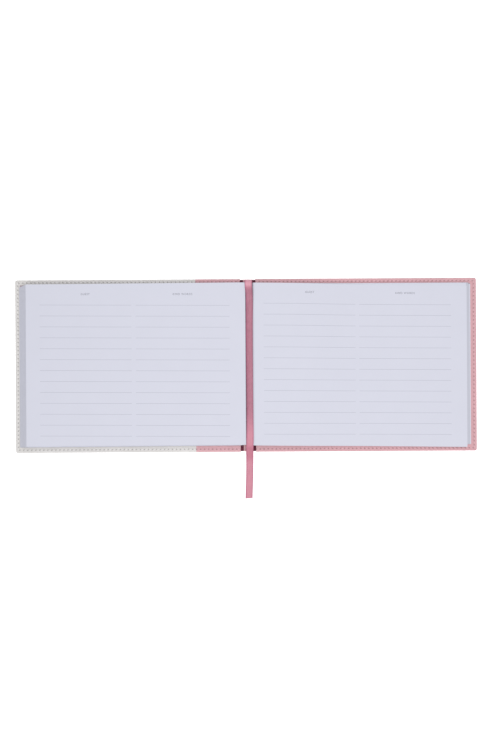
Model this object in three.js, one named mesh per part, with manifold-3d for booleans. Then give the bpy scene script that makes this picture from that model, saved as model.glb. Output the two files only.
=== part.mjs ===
// A landscape wedding guest book lying open on a table.
// Millimetres, +Z up, +X towards the back cover, +Y towards the head of the pages.
// The origin is under the middle of the open case, on the surface that the book lies on.
import * as THREE from "three";
import { mergeVertices } from "three/addons/utils/BufferGeometryUtils.js";
import Module from "manifold-3d";

const wasm = await Module();
wasm.setup();

// Case: two boards and a spine stiffener, covered in leatherette.
const OPEN_WIDTH = 475;
const COVER_HEIGHT = 178;
const COVER_THICKNESS = 3;
const COVER_CORNER_R = 2;
const LEATHER = 0.5;
const BOARD_GAP = 0.05;
const TURN_IN = 15;
const PASTEDOWN = 0.2;
const PASTEDOWN_INSET = 8.3;
const PASTEDOWN_REACH = 0.3;
const SEAM_X = -50.4;
const SEAM_GAP = 0.3;

// Stitching: a thread in a shallow channel round each cover, inside and outside.
const STITCH_INSET = 3;
const STITCH_WIDTH = 0.5;
const STITCH_DEPTH = 0.18;
const CHANNEL_WIDTH = 0.7;
const CHANNEL_DEPTH = 0.25;
const CHANNEL_OVERRUN = 1;
const STITCH_END_INSET = 0.4;
const STITCH_CLEARANCE = 0.02;

// Spine. The book lies open near its end, so the spine has slid towards the back
// cover, and the front cover's leatherette runs on past its board to meet it.
const SPINE_X = 2.1;
const SPINE_HALF_WIDTH = 4.9;
const JOINT_HALF_WIDTH = 7.9;
const SPINE_HEIGHT = 177;
const SPINE_BOARD = 1.1;
const SPINE_BOARD_INSET = 0.2;
const SPINE_TURN_IN = 13;
const SPINE_TURN_IN_THICKNESS = 0.4;
const SPINE_STITCH_INSET = 2.5;
const HINGE_GAP = 0.3;
const HINGE_HEIGHT = 176.8;
const LINING = 0.2;
const LINING_CLEARANCE = 0.4;

// Text block: twelve sewn sections, nine on the left and three on the right.
const SECTION_COUNT = 12;
const LEFT_SECTIONS = 9;
const SECTION_PITCH = 1.1;
const SECTION_THICKNESS = 1.02;
const LEAF_HEIGHT = 164.4;
const BLOCK_SHIFT_Y = 1.3;
const FIRST_SECTION_Z = 3.3;
const LEFT_FOLD_X = [-6.4, -0.3];
const LEFT_EDGE_X = [-232.2, -222.8];
const RIGHT_FOLD_X = [10.6, 6.2];
const RIGHT_EDGE_X = [230.8, 228];
const FLYLEAF = 0.14;
const FLYLEAF_Z = 3.08;
const TURNING_LEAF = 0.12;
const TURNING_LEAF_Z = 13.2;

// Sewing: short runs of thread across the backs of the sections.
const THREAD_STATIONS = [-60, -20, 20, 60];
const THREAD_R = 0.12;
const THREAD_Z = 2.31;
const THREAD_LENGTH = 13.2;

// Ribbon marker: points along its middle, from its glued end under the folds,
// over the head of the pages, down the gutter and out past the tail.
const RIBBON_WIDTH = 7.3;
const RIBBON_THICKNESS = 0.3;
const RIBBON_STEPS = 78;
const RIBBON_ROUTE = [
  [4.2, 66, 2.32],
  [4.2, 74, 2.32],
  [4.2, 80, 2.34],
  [4.1, 84.5, 2.95],
  [3.8, 86.2, 5],
  [3.4, 86.8, 8],
  [3, 86.5, 11],
  [2.8, 85, 13.2],
  [2.7, 80.5, 13.75],
  [3.5, 73, 13.5],
  [3.65, 63, 12.3],
  [3.6, 50, 11.35],
  [3.5, 34, 11],
  [3.6, 14, 10.9],
  [3.8, -8, 10.9],
  [3.9, -32, 11],
  [3.9, -54, 11.3],
  [3.8, -68, 11.5],
  [3.6, -77, 11.4],
  [3.5, -83.5, 10],
  [3.4, -88.5, 6.8],
  [3.4, -93.5, 3.1],
  [3.4, -99, 1],
  [3.3, -107, 0.35],
  [3.1, -117, 0.25],
  [2.7, -128, 0.25],
  [2.4, -137.4, 0.25],
];

const HALF_WIDTH = OPEN_WIDTH / 2;
const HALF_HEIGHT = COVER_HEIGHT / 2;
const LIP_TOP = COVER_THICKNESS - PASTEDOWN;
const LIP_BOTTOM = LIP_TOP - LEATHER;
const SPINE_BOARD_TOP = LEATHER + BOARD_GAP + SPINE_BOARD;
const SPINE_LIP_BOTTOM = SPINE_BOARD_TOP + BOARD_GAP;
const SPINE_LIP_TOP = SPINE_LIP_BOTTOM + SPINE_TURN_IN_THICKNESS;
const FRONT_INNER_X = SPINE_X - JOINT_HALF_WIDTH;
const BACK_INNER_X = SPINE_X + JOINT_HALF_WIDTH;
const BOARD_INNER_X = BACK_INNER_X;
const CUT_THROUGH = 5;

function finish(color, roughness) {
  return new THREE.MeshStandardMaterial({ color, roughness, metalness: 0 });
}

const whiteLeatherette = finish("#e6e3e1", 0.6);
const pinkLeatherette = finish("#c99aa8", 0.6);
const greyBoard = finish("#a39c92", 0.9);
const endpaper = finish("#c6a2b0", 0.85);
const page = finish("#e4e5f0", 0.85);
const whiteThread = finish("#dedad8", 0.7);
const pinkThread = finish("#dcb4be", 0.7);
const linenThread = finish("#d9d2c4", 0.8);
const liningPaper = finish("#cfc8bb", 0.9);
const satin = finish("#bf7c92", 0.35);

// A flat plate, with its corners on the side of roundSide (-1 or 1) rounded to radius r.
function plate([x0, x1], halfHeight, [z0, z1], roundSide = 0, r = 0) {
  const leftR = roundSide < 0 ? r : 0;
  const rightR = roundSide > 0 ? r : 0;
  const outline = new THREE.Shape();
  outline.moveTo(x0 + leftR, -halfHeight);
  outline.lineTo(x1 - rightR, -halfHeight);
  if (rightR > 0) {
    outline.absarc(x1 - r, -halfHeight + r, r, -Math.PI / 2, 0);
  }
  outline.lineTo(x1, halfHeight - rightR);
  if (rightR > 0) {
    outline.absarc(x1 - r, halfHeight - r, r, 0, Math.PI / 2);
  }
  outline.lineTo(x0 + leftR, halfHeight);
  if (leftR > 0) {
    outline.absarc(x0 + r, halfHeight - r, r, Math.PI / 2, Math.PI);
  }
  outline.lineTo(x0, -halfHeight + leftR);
  if (leftR > 0) {
    outline.absarc(x0 + r, -halfHeight + r, r, Math.PI, 1.5 * Math.PI);
  }
  const settings = { depth: z1 - z0, bevelEnabled: false, curveSegments: 4 };
  return new THREE.ExtrudeGeometry(outline, settings).translate(0, 0, z0);
}

// A closed geometry as a solid that can be cut and joined.
function solid(geometry) {
  const bare = geometry.clone();
  bare.deleteAttribute("normal");
  bare.deleteAttribute("uv");
  const merged = mergeVertices(bare, 1e-4);
  return new wasm.Manifold(
    new wasm.Mesh({
      numProp: 3,
      vertProperties: merged.attributes.position.array,
      triVerts: new Uint32Array(merged.index.array),
    }),
  );
}

function geometryOf(made) {
  const mesh = made.getMesh();
  const geometry = new THREE.BufferGeometry();
  geometry.setAttribute("position", new THREE.BufferAttribute(mesh.vertProperties, 3));
  geometry.setIndex(new THREE.BufferAttribute(mesh.triVerts, 1));
  geometry.computeVertexNormals();
  return geometry;
}

// A name for each piece, in a group of its own body.
function piece(group, name, geometry, material) {
  const mesh = new THREE.Mesh(geometry, material);
  mesh.name = name;
  group.add(mesh);
}

// An x span from its end nearer the fore-edge and its end nearer the spine.
function span(side, farX, nearX) {
  return side < 0 ? [farX, nearX] : [nearX, farX];
}

// The x of a line at a distance inside the fore-edge.
function insideEdge(side, inset) {
  return side * (HALF_WIDTH - inset);
}

function coverInnerX(side) {
  return side < 0 ? FRONT_INNER_X : BACK_INNER_X;
}

// A band of the given width that runs along head, fore-edge and tail of a cover,
// at the stitch line, and stops at nearX beside the spine.
function stitchBand(side, width, nearX, z) {
  const outerInset = STITCH_INSET - width / 2;
  const innerInset = STITCH_INSET + width / 2;
  const outerSpan = span(side, insideEdge(side, outerInset), nearX);
  const hollowSpan = span(side, insideEdge(side, innerInset), nearX - side * CUT_THROUGH);
  const hollowZ = [z[0] - 1, z[1] + 1];
  const hollowR = COVER_CORNER_R - width;
  const outer = plate(outerSpan, HALF_HEIGHT - outerInset, z, side, COVER_CORNER_R);
  const hollow = plate(hollowSpan, HALF_HEIGHT - innerInset, hollowZ, side, hollowR);
  return solid(outer).subtract(solid(hollow));
}

// The room for the thread: a channel in the inside or the outside of a cover.
function stitchChannel(side, z) {
  return stitchBand(side, CHANNEL_WIDTH, coverInnerX(side) - side * CHANNEL_OVERRUN, z);
}

// The leatherette over one stretch of a cover: the outer skin, the wrapped edges
// and the turned-in lips round the board. Only the fore-edge stretch has rounded
// corners; pocketNear is where the room for the board ends beside the spine.
function coverLeather(side, farX, nearX, reachesEdge, pocketNear) {
  const roundSide = reachesEdge ? side : 0;
  const farCut = farX + side * CUT_THROUGH;
  const nearCut = nearX - side * CUT_THROUGH;
  const pocketSpan = span(side, reachesEdge ? farX - side * LEATHER : farCut, pocketNear);
  const windowSpan = span(side, reachesEdge ? farX - side * TURN_IN : farCut, nearCut);
  const pocketZ = [LEATHER, LIP_BOTTOM];
  const windowZ = [LIP_BOTTOM - 1, COVER_THICKNESS];
  const pocketR = COVER_CORNER_R - LEATHER;
  const body = plate(span(side, farX, nearX), HALF_HEIGHT, [0, LIP_TOP], roundSide, COVER_CORNER_R);
  const pocket = plate(pocketSpan, HALF_HEIGHT - LEATHER, pocketZ, roundSide, pocketR);
  const window = plate(windowSpan, HALF_HEIGHT - TURN_IN, windowZ);
  return solid(body)
    .subtract(solid(pocket))
    .subtract(solid(window))
    .subtract(stitchChannel(side, [LIP_TOP - CHANNEL_DEPTH, COVER_THICKNESS]))
    .subtract(stitchChannel(side, [-1, CHANNEL_DEPTH]));
}

// One cover's board, pastedown and its two stitching threads.
function coverCore(group, prefix, side, thread) {
  const boardInset = LEATHER + BOARD_GAP;
  const boardZ = [LEATHER + BOARD_GAP, LIP_BOTTOM - BOARD_GAP];
  const boardSpan = span(side, insideEdge(side, boardInset), side * BOARD_INNER_X);
  const boardR = COVER_CORNER_R - boardInset;
  const board = plate(boardSpan, HALF_HEIGHT - boardInset, boardZ, side, boardR);
  piece(group, `${prefix}_board`, board, greyBoard);

  const innerX = coverInnerX(side);
  const paperZ = [LIP_TOP + BOARD_GAP, COVER_THICKNESS];
  const paperNear = innerX + side * PASTEDOWN_REACH;
  const paperSpan = span(side, insideEdge(side, PASTEDOWN_INSET), paperNear);
  const paper = plate(paperSpan, HALF_HEIGHT - PASTEDOWN_INSET, paperZ);
  piece(group, `${prefix}_pastedown`, paper, endpaper);

  const threadNear = innerX + side * STITCH_END_INSET;
  const insideTop = LIP_TOP - STITCH_CLEARANCE;
  const insideZ = [insideTop - STITCH_DEPTH, insideTop];
  const outsideZ = [STITCH_CLEARANCE, STITCH_CLEARANCE + STITCH_DEPTH];
  const inside = stitchBand(side, STITCH_WIDTH, threadNear, insideZ);
  const outside = stitchBand(side, STITCH_WIDTH, threadNear, outsideZ);
  piece(group, `${prefix}_stitching_inside`, geometryOf(inside), thread);
  piece(group, `${prefix}_stitching_outside`, geometryOf(outside), thread);
}

// The front cover: white leatherette, with a pink strip along the spine side.
function frontCover() {
  const group = new THREE.Group();
  const seamFar = SEAM_X - SEAM_GAP;
  const boardEnd = -BOARD_INNER_X + BOARD_GAP;
  const panel = coverLeather(-1, -HALF_WIDTH, seamFar, true, seamFar + CUT_THROUGH);
  const strip = coverLeather(-1, SEAM_X, FRONT_INNER_X, false, boardEnd);
  piece(group, "front_cover_panel", geometryOf(panel), whiteLeatherette);
  piece(group, "front_cover_strip", geometryOf(strip), pinkLeatherette);
  coverCore(group, "front", -1, whiteThread);
  return group;
}

// The back cover: pink leatherette all over.
function backCover() {
  const group = new THREE.Group();
  const panel = coverLeather(1, HALF_WIDTH, BACK_INNER_X, true, BACK_INNER_X - CUT_THROUGH);
  piece(group, "back_cover_panel", geometryOf(panel), pinkLeatherette);
  coverCore(group, "back", 1, pinkThread);
  return group;
}

// The spine: its stiffener, its leatherette, the two flexible joints beside it,
// the paper lining and the stitches that run over its ends.
function spine() {
  const group = new THREE.Group();
  const half = SPINE_HEIGHT / 2;
  const x = [SPINE_X - SPINE_HALF_WIDTH, SPINE_X + SPINE_HALF_WIDTH];
  const boardX = [x[0] + SPINE_BOARD_INSET, x[1] - SPINE_BOARD_INSET];
  const boardZ = [LEATHER + BOARD_GAP, SPINE_BOARD_TOP];
  const boardHalf = half - LEATHER - BOARD_GAP;
  piece(group, "spine_board", plate(boardX, boardHalf, boardZ), greyBoard);

  const wide = [x[0] - CUT_THROUGH, x[1] + CUT_THROUGH];
  const stitchY = half - SPINE_STITCH_INSET;
  const channelZ = [SPINE_LIP_TOP - CHANNEL_DEPTH, COVER_THICKNESS];
  let leather = solid(plate(x, half, [0, SPINE_LIP_TOP]))
    .subtract(solid(plate(wide, half - LEATHER, [LEATHER, SPINE_LIP_BOTTOM])))
    .subtract(solid(plate(wide, half - SPINE_TURN_IN, [SPINE_BOARD_TOP - 1, COVER_THICKNESS])));
  for (const end of [-1, 1]) {
    const channel = plate(wide, CHANNEL_WIDTH / 2, channelZ).translate(0, end * stitchY, 0);
    leather = leather.subtract(solid(channel));
  }
  piece(group, "spine_leather", geometryOf(leather), pinkLeatherette);

  const liningHalf = half - SPINE_TURN_IN - LINING_CLEARANCE;
  const lining = plate(boardX, liningHalf, [SPINE_LIP_BOTTOM, SPINE_LIP_BOTTOM + LINING]);
  piece(group, "spine_lining", lining, liningPaper);

  const hingeHalf = HINGE_HEIGHT / 2;
  for (const [prefix, side] of [["front", -1], ["back", 1]]) {
    const far = coverInnerX(side) - side * HINGE_GAP;
    const near = SPINE_X + side * (SPINE_HALF_WIDTH + HINGE_GAP);
    const hinge = plate(span(side, far, near), hingeHalf, [0, LEATHER]);
    piece(group, `${prefix}_hinge_leather`, hinge, pinkLeatherette);
  }

  const threadX = [x[0] + STITCH_END_INSET, x[1] - STITCH_END_INSET];
  const threadTop = SPINE_LIP_TOP - STITCH_CLEARANCE;
  for (const [name, end] of [["head", 1], ["tail", -1]]) {
    const thread = plate(threadX, STITCH_WIDTH / 2, [threadTop - STITCH_DEPTH, threadTop]);
    thread.translate(0, end * stitchY, 0);
    piece(group, `spine_stitching_${name}`, thread, pinkThread);
  }
  return group;
}

// A leaf or a folded section in cross-section, with a round fold at foldX and a
// cut edge at edgeX, extruded from tail to head. The block sits a little nearer
// the head of the case than the tail.
function foldedSheets(side, foldX, edgeX, z, thickness) {
  const r = thickness / 2;
  const outline = new THREE.Shape();
  outline.moveTo(edgeX, z);
  outline.lineTo(edgeX, z + thickness);
  outline.lineTo(foldX + side * r, z + thickness);
  outline.absarc(foldX + side * r, z + r, r, Math.PI / 2, -Math.PI / 2, side < 0);
  const settings = { depth: LEAF_HEIGHT, bevelEnabled: false, curveSegments: 4 };
  const geometry = new THREE.ExtrudeGeometry(outline, settings);
  geometry.rotateX(Math.PI / 2);
  geometry.translate(0, LEAF_HEIGHT / 2 + BLOCK_SHIFT_Y, 0);
  return geometry;
}

// Folds and cut edges step towards the gutter from the cover up, so each side fans out.
function fan([lowest, highest], layer, count) {
  return THREE.MathUtils.lerp(lowest, highest, layer / (count - 1));
}

function textBlock() {
  const group = new THREE.Group();
  const sides = [
    { side: -1, count: LEFT_SECTIONS, folds: LEFT_FOLD_X, edges: LEFT_EDGE_X },
    { side: 1, count: SECTION_COUNT - LEFT_SECTIONS, folds: RIGHT_FOLD_X, edges: RIGHT_EDGE_X },
  ];
  for (const { side, count, folds, edges } of sides) {
    for (let layer = 0; layer < count; layer += 1) {
      const number = side < 0 ? layer + 1 : SECTION_COUNT - layer;
      const name = `section_${String(number).padStart(2, "0")}`;
      const foldX = fan(folds, layer, count);
      const edgeX = fan(edges, layer, count);
      const z = FIRST_SECTION_Z + layer * SECTION_PITCH;
      piece(group, name, foldedSheets(side, foldX, edgeX, z, SECTION_THICKNESS), page);
    }
    const flyleaf = foldedSheets(side, folds[0], edges[0], FLYLEAF_Z, FLYLEAF);
    piece(group, side < 0 ? "front_flyleaf" : "back_flyleaf", flyleaf, endpaper);
  }
  const [foldX, edgeX] = [LEFT_FOLD_X[1], LEFT_EDGE_X[1]];
  const turning = foldedSheets(-1, foldX, edgeX, TURNING_LEAF_Z, TURNING_LEAF);
  piece(group, "turning_leaf", turning, page);
  return group;
}

function sewing() {
  const group = new THREE.Group();
  THREAD_STATIONS.forEach((y, i) => {
    const thread = new THREE.CylinderGeometry(THREAD_R, THREAD_R, THREAD_LENGTH, 8);
    thread.rotateZ(Math.PI / 2);
    thread.translate(SPINE_X, y, THREAD_Z);
    piece(group, `sewing_thread_${i + 1}`, thread, linenThread);
  });
  return group;
}

// The ribbon is a flat band, level across the book: at every step of its route a
// four-cornered ring, joined to the ring before it, with a cap at each end.
function ribbon() {
  const group = new THREE.Group();
  const route = new THREE.CatmullRomCurve3(RIBBON_ROUTE.map((p) => new THREE.Vector3(...p)));
  const across = new THREE.Vector3(RIBBON_WIDTH / 2, 0, 0);
  const corners = [];
  const faces = [];
  for (let step = 0; step <= RIBBON_STEPS; step += 1) {
    const middle = route.getPointAt(step / RIBBON_STEPS);
    const tangent = route.getTangentAt(step / RIBBON_STEPS).setX(0).normalize();
    const lift = new THREE.Vector3(0, -tangent.z, tangent.y).multiplyScalar(RIBBON_THICKNESS / 2);
    for (const [a, b] of [[1, 1], [-1, 1], [-1, -1], [1, -1]]) {
      const corner = middle.clone().addScaledVector(across, a).addScaledVector(lift, b);
      corners.push(...corner.toArray());
    }
  }
  for (let ring = 0; ring < RIBBON_STEPS * 4; ring += 4) {
    for (let k = 0; k < 4; k += 1) {
      const [a, b] = [ring + k, ring + ((k + 1) % 4)];
      faces.push(a, b + 4, b, a, a + 4, b + 4);
    }
  }
  const end = RIBBON_STEPS * 4;
  faces.push(0, 1, 2, 0, 2, 3, end, end + 2, end + 1, end, end + 3, end + 2);
  const band = new THREE.BufferGeometry();
  band.setAttribute("position", new THREE.Float32BufferAttribute(corners, 3));
  band.setIndex(faces);
  band.computeVertexNormals();
  piece(group, "ribbon_marker", band, satin);
  return group;
}

const guestBook = new THREE.Group();
guestBook.add(spine(), frontCover(), backCover(), textBlock(), sewing(), ribbon());

export default guestBook;
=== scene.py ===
"""Landscape wedding guest book, lying open: leatherette case, sewn pages, ribbon marker."""

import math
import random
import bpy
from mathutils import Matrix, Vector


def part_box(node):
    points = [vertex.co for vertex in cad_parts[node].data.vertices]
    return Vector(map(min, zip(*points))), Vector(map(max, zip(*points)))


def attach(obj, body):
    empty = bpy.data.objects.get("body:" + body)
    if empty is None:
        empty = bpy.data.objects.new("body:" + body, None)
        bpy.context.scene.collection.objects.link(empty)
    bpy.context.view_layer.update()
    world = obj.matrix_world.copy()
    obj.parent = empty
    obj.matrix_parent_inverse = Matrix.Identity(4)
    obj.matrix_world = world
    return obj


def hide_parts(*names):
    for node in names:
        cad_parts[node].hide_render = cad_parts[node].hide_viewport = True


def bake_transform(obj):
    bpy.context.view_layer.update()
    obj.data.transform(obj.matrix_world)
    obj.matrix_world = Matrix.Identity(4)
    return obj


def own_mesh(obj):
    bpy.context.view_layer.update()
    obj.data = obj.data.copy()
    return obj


bl_info = {
    "name": "Open Guest Book",
    "version": (1, 0, 0),
    "blender": (4, 5, 0),
    "location": "View3D > Sidebar > Guest Book",
    "description": "Builds the visible pieces of an open guest book around its packed frame",
    "category": "Add Mesh",
}

import bmesh
import bpy
from bpy.props import FloatProperty, FloatVectorProperty, IntProperty, PointerProperty
from mathutils import Vector

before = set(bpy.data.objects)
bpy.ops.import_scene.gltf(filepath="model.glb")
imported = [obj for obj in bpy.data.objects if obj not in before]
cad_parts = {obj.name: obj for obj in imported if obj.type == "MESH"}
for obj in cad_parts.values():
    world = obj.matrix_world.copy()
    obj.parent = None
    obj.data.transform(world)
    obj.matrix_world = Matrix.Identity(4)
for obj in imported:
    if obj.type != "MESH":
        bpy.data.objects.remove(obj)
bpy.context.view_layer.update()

MM = 0.001
FULL_TURN = 2 * math.pi

# Rounding of the covers' corners, in millimetres.
COVER_CORNER = 2.0

# How much nearer the tail the lowest section on the left lies than the top one, in millimetres.
SLIDE = 1.2

# How far leaves are turned from square, as a slope: the left ones, the open right ones, and
# the closed sections on the right.
LEFT_SKEW = 0.004
RIGHT_SKEW = 0.0145
LOW_SKEW = 0.005

# How much further the open right leaves reach at the tail than the closed sections, in millimetres.
RIGHT_DROP = 0.7

# Slope of the ruled lines in the book's own frame, away from the spine.
LEFT_LINE_RISE = 0.0078
RIGHT_LINE_RISE = -0.0091

# Printed columns of a page, as spans away from the spine, and the first line's height, in millimetres.
LEFT_COLUMNS = ((16.4, 111.5), (115.7, 208.7))
RIGHT_COLUMNS = ((18.1, 112.1), (115.9, 210.1))
LEFT_FIRST_LINE = 60.15
RIGHT_FIRST_LINE = 62.55
LINES_BELOW_FIRST = 12

# Heights of the outer stitches, and depth of the thread in the inner and spine seams, in millimetres.
OUTER_STITCH_Z = 0.31
INNER_STITCH_DEPTH = 0.06
SPINE_STITCH_DEPTH = 0.1


def box_mm(node):
    """Lowest and highest corner of a CAD node, in millimetres."""
    low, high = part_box(node)
    return low / MM, high / MM


PANEL_LOW, PANEL_HIGH = box_mm("front_cover_panel")
STRIP_LOW, STRIP_HIGH = box_mm("front_cover_strip")
BACK_LOW, BACK_HIGH = box_mm("back_cover_panel")
SPINE_LOW, SPINE_HIGH = box_mm("spine_leather")
LEAF_LOW, LEAF_HIGH = box_mm("turning_leaf")
PAGE_TAIL, PAGE_HEAD = LEAF_LOW.y, LEAF_HIGH.y


# ---------------------------------------------------------------------------
# Sizes and colours that a user may change
# ---------------------------------------------------------------------------


def length_property(name, description, default):
    """A size in millimetres."""
    return FloatProperty(name=name, description=description, default=default, min=0.0)


def colour_property(name, description, default):
    """A linear colour."""
    return FloatVectorProperty(
        name=name, description=description, subtype="COLOR", size=3, min=0, max=1, default=default
    )


class GuestBookSizes(bpy.types.PropertyGroup):
    """Sizes of the visible details, in millimetres."""

    edge_radius: length_property("Edge radius", "Rounding of the wrapped cover edges", 1.05)
    leather: length_property("Leatherette", "Thickness of the leatherette", 0.45)
    turn_in: length_property("Turn-in", "Width of the leatherette turned in over the board", 14.8)
    seam_lap: length_property("Seam lap", "How far the pink strip laps over the white panel", 1.2)
    stitch_inset: length_property("Stitch inset", "Stitch line's distance from the edge", 3.0)
    stitch_pitch: length_property("Stitch pitch", "Distance from stitch to stitch", 4.13)
    stitch_length: length_property("Stitch length", "Visible length of one stitch", 3.2)
    stitch_radius: length_property("Stitch radius", "Half the thread's width", 0.36)
    hole: length_property("Needle hole", "Half the width of the dent between two stitches", 0.62)
    leaf: length_property("Leaf", "Thickness of one leaf", 0.105)
    leaves: IntProperty(name="Leaves", description="Leaves in a section", default=8, min=2)
    arch_height: length_property("Arch height", "Lift of the top right leaf by the gutter", 6.3)
    arch_start: length_property("Arch start", "Where the lifted leaves begin to fall", 32.0)
    arch_length: length_property("Arch length", "Width over which the lifted leaves fall", 100.0)
    arch_curl: length_property("Arch curl", "Width of the steep curl beside the gutter", 9.0)
    line_pitch: length_property("Line pitch", "Distance between ruled lines", 11.06)
    line_width: length_property("Line width", "Width of a ruled line", 0.24)
    heading_size: length_property("Heading size", "Letter size of the column headings", 2.9)
    ribbon_width: length_property("Ribbon width", "Width of the ribbon marker", 7.3)
    ribbon_thickness: length_property("Ribbon thickness", "Thickness of the ribbon", 0.3)


class GuestBookColours(bpy.types.PropertyGroup):
    """Colours of the materials."""

    white: colour_property("White leatherette", "Front cover", (0.63, 0.61, 0.595))
    pink: colour_property("Pink leatherette", "Back cover, spine and strip", (0.60, 0.335, 0.365))
    # Painted shade: a near-black colour for the joints' upward faces, standing in for the shade deep
    # in their creases.
    crease_shade: colour_property("Crease", "Leatherette deep in the joints", (0.12, 0.018, 0.04))
    white_thread: colour_property("White thread", "Stitching on white", (0.80, 0.785, 0.77))
    pink_thread: colour_property("Pink thread", "Stitching on pink", (0.70, 0.44, 0.48))
    page: colour_property("Page", "Page paper", (0.575, 0.58, 0.655))
    ink: colour_property("Ink", "Ruled lines and headings", (0.33, 0.335, 0.39))
    endpaper: colour_property("Endpaper", "Pastedowns and flyleaves", (0.40, 0.33, 0.37))
    ribbon: colour_property("Ribbon", "Satin ribbon", (0.465, 0.162, 0.222))
    board: colour_property("Board", "Grey board", (0.32, 0.29, 0.26))
    linen: colour_property("Linen", "Sewing thread and spine lining", (0.62, 0.57, 0.48))
    floor: colour_property("Floor", "Table top", (0.9, 0.9, 0.9))


def sizes():
    """The scene's sizes."""
    return bpy.context.scene.guest_book_sizes


def colours():
    """The scene's colours."""
    return bpy.context.scene.guest_book_colours


# ---------------------------------------------------------------------------
# Shader expressions and materials
# ---------------------------------------------------------------------------


class Value:
    """One output socket of a shader tree, used in Python arithmetic."""

    def __init__(self, surface, socket):
        self.surface = surface
        self.socket = socket

    def math(self, operation, *others):
        """A Math node on this value and others."""
        inputs = dict(enumerate((self,) + others))
        return self.surface.node("ShaderNodeMath", {"operation": operation}, inputs)

    def __add__(self, other):
        return self.math("ADD", other)

    __radd__ = __add__

    def __mul__(self, other):
        return self.math("MULTIPLY", other)

    __rmul__ = __mul__

    def __sub__(self, other):
        return self.math("SUBTRACT", other)

    def __rsub__(self, other):
        return self.surface.node("ShaderNodeMath", {"operation": "SUBTRACT"}, {0: other, 1: self})

    def __truediv__(self, other):
        return self.math("DIVIDE", other)

    def __gt__(self, other):
        return self.math("GREATER_THAN", other)

    def __lt__(self, other):
        return self.math("LESS_THAN", other)

    def sine(self):
        """Sine of this value."""
        return self.math("SINE")

    def magnitude(self):
        """This value without its sign."""
        return self.math("ABSOLUTE")

    def power(self, exponent):
        """This value raised to a power."""
        return self.math("POWER", exponent)

    def remainder(self, divisor):
        """Floored remainder of this value."""
        return self.math("FLOORED_MODULO", divisor)

    def ramp(self, low, high):
        """0 below low and 1 above high, smooth between them."""
        settings = {"interpolation_type": "SMOOTHSTEP"}
        inputs = {"Value": self, "From Min": low, "From Max": high}
        return self.surface.node("ShaderNodeMapRange", settings, inputs)


class Surface:
    """A node material that is built by expressions."""

    def __init__(self, name):
        self.material = bpy.data.materials.new(name)
        self.material.use_nodes = True
        self.tree = self.material.node_tree
        self.tree.nodes.clear()
        self.shader = self.tree.nodes.new("ShaderNodeBsdfPrincipled")
        output = self.tree.nodes.new("ShaderNodeOutputMaterial")
        self.tree.links.new(self.shader.outputs["BSDF"], output.inputs["Surface"])

    def node(self, kind, settings=None, inputs=None, output=0):
        """Any node: its type, its settings, then the values or links of its sockets."""
        made = self.tree.nodes.new(kind)
        for key, value in (settings or {}).items():
            setattr(made, key, value)
        for key, value in (inputs or {}).items():
            self.feed(made.inputs[key], value)
        return Value(self, made.outputs[output])

    def feed(self, socket, value):
        """Links a value to a socket, or sets a plain number or colour on it."""
        if isinstance(value, Value):
            self.tree.links.new(value.socket, socket)
        elif socket.type == "RGBA":
            socket.default_value = (*value[:3], 1.0)
        else:
            socket.default_value = value

    def place(self):
        """Object coordinates, in metres."""
        return self.node("ShaderNodeTexCoord", output="Object")

    def sheet_place(self):
        """Coordinates along the sheet, in millimetres: away from the spine, and towards the head."""
        flat = self.node("ShaderNodeUVMap", {"uv_map": "sheet"})
        parts = {"Vector": flat}
        across = self.node("ShaderNodeSeparateXYZ", None, parts, "X")
        along = self.node("ShaderNodeSeparateXYZ", None, parts, "Y")
        return across * 1000.0, along * 1000.0

    def seam_place(self):
        """Coordinates along the seam, counted in stitches, and aside from it, in millimetres."""
        flat = self.node("ShaderNodeUVMap", {"uv_map": "seam"})
        parts = {"Vector": flat}
        along = self.node("ShaderNodeSeparateXYZ", None, parts, "X")
        aside = self.node("ShaderNodeSeparateXYZ", None, parts, "Y")
        return along, aside

    def noise(self, scale, detail=2.0, stretch=(1, 1, 1)):
        """Noise of so many features to the metre, stretched along an axis."""
        settings = {"operation": "MULTIPLY"}
        spread = self.node("ShaderNodeVectorMath", settings, {0: self.place(), 1: stretch})
        inputs = {"Vector": spread, "Scale": scale, "Detail": detail}
        return self.node("ShaderNodeTexNoise", None, inputs)

    def cells(self, scale, feature):
        """Distance in a cell pattern of so many cells to the metre."""
        inputs = {"Vector": self.place(), "Scale": scale}
        settings = {"feature": feature}
        return self.node("ShaderNodeTexVoronoi", settings, inputs, "Distance")

    def mix(self, share, first, second):
        """Colour from first to second as share goes from 0 to 1."""
        settings = {"data_type": "RGBA"}
        return self.node("ShaderNodeMix", settings, {0: share, 6: first, 7: second}, 2)

    def shade(self, colour, by):
        """A colour multiplied by a grey value."""
        grey = self.node("ShaderNodeCombineColor", None, {0: by, 1: by, 2: by})
        settings = {"data_type": "RGBA", "blend_type": "MULTIPLY"}
        return self.node("ShaderNodeMix", settings, {0: 1.0, 6: colour, 7: grey}, 2)

    def bump(self, height, distance, strength=1.0):
        """Normals from a height, with its depth in metres."""
        inputs = {"Height": height, "Distance": distance, "Strength": strength}
        return self.node("ShaderNodeBump", None, inputs)

    def finish(self, **sockets):
        """Sets the Principled shader's sockets, named with underscores, and returns the material."""
        for key, value in sockets.items():
            self.feed(self.shader.inputs[key.replace("_", " ")], value)
        return self.material


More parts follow.
